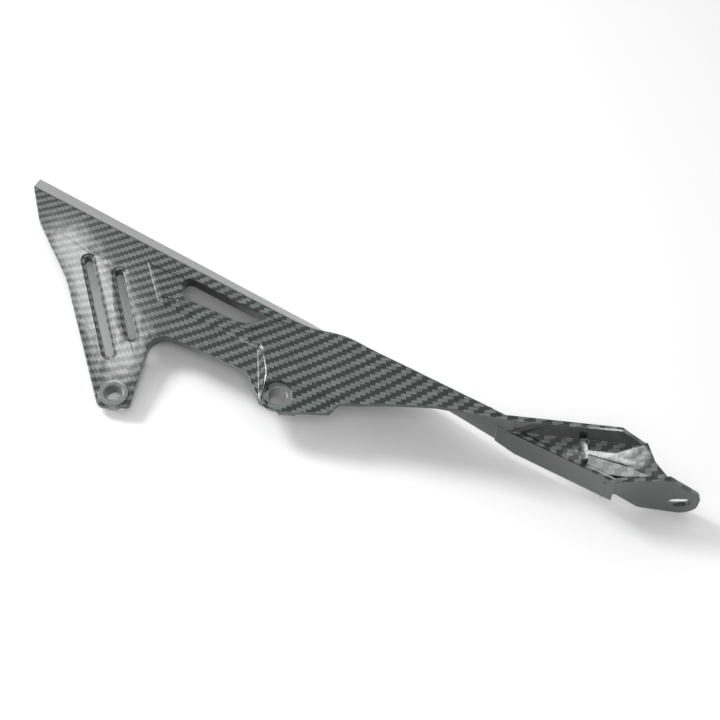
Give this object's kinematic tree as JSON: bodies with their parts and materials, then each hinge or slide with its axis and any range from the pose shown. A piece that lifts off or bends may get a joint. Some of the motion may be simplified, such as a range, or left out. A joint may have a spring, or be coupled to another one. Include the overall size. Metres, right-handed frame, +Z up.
{
  "type": "motorcycle chain guard",
  "caption": "Moulded motorcycle chain guard with a windowed side plate, a slanting roof over the chain, two screw holes and a slotted front lug.",
  "frame": {"origin": "midway between the two screw holes, on the outer face of the side plate", "axes": "+X forward through both screw holes, +Z up, -Y out of the side plate's outer face"},
  "size_m": [0.39, 0.0583, 0.2048],
  "materials": {
    "gloss_plastic": "gloss"
  },
  "bodies": {
    "root": {"chain_guard": "gloss_plastic"}
  },
  "joints": []
}
